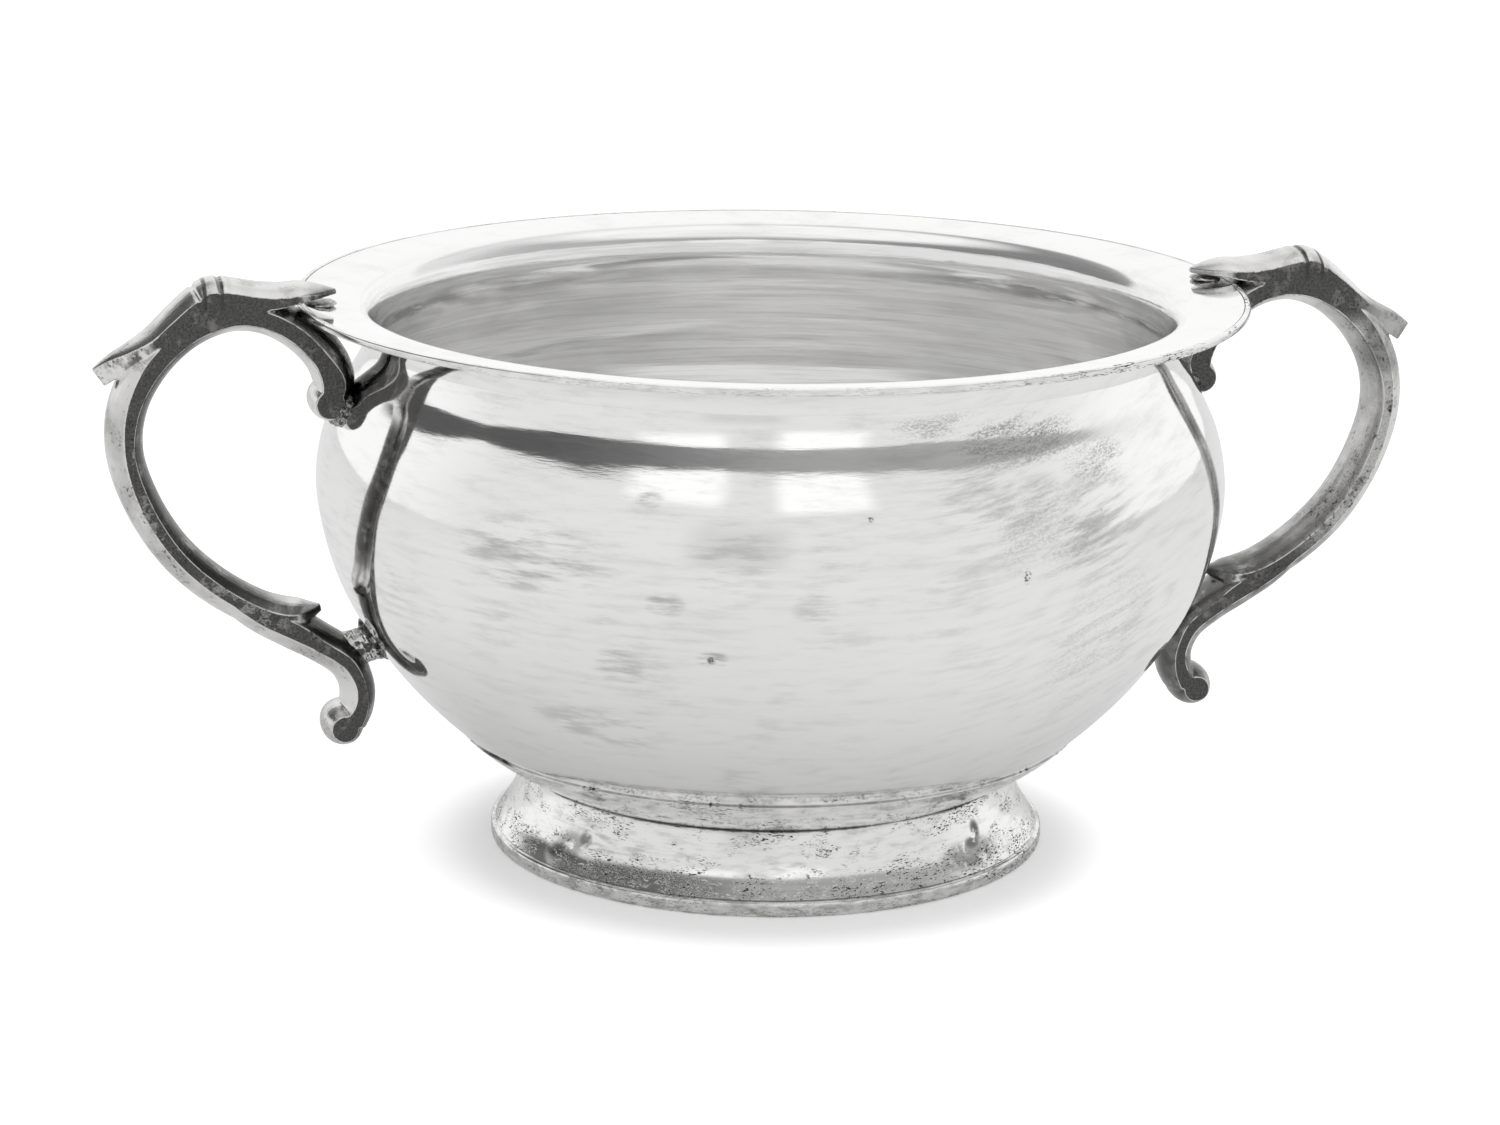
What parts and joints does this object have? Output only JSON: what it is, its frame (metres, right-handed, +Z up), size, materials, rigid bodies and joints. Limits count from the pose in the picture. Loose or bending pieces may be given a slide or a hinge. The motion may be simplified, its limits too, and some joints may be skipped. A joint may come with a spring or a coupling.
{
  "type": "handled bowl",
  "caption": "Round-bellied silver bowl with a broad flat rim, a spreading foot and a cast scroll handle at each end.",
  "frame": {"origin": "on the surface the foot stands on, under the middle of the overall box", "axes": "+X from the left handle to the right handle, +Y away from the viewer, +Z up along the axis of the bowl"},
  "size_m": [0.2563, 0.18, 0.1126],
  "materials": {
    "body_silver": "hand polished silver, worn, with fine scratches and faint grey smudges",
    "foot_silver": "polished silver with small pits and dark specks",
    "wire_silver": "polished silver wire with a line of dark tarnish specks along its seam",
    "cast_silver": "cast silver, polished and worn on its crowned faces, grey and matt on its flat sides, nearly black in its hollows",
    "solder": "rough silver solder, pitted and tarnished"
  },
  "bodies": {
    "root": {"bowl": "body_silver", "rim_wire": "wire_silver", "foot_collar": "foot_silver", "foot": "foot_silver", "foot_base_wire": "wire_silver", "handle_left": "cast_silver", "handle_right": "cast_silver", "strut_left": "cast_silver", "strut_right": "cast_silver", "strut_solder_left": "solder", "strut_solder_right": "solder", "shoulder_solder_left": "solder", "shoulder_solder_right": "solder", "rim_solder_left": "solder", "rim_solder_right": "solder"}
  },
  "joints": []
}
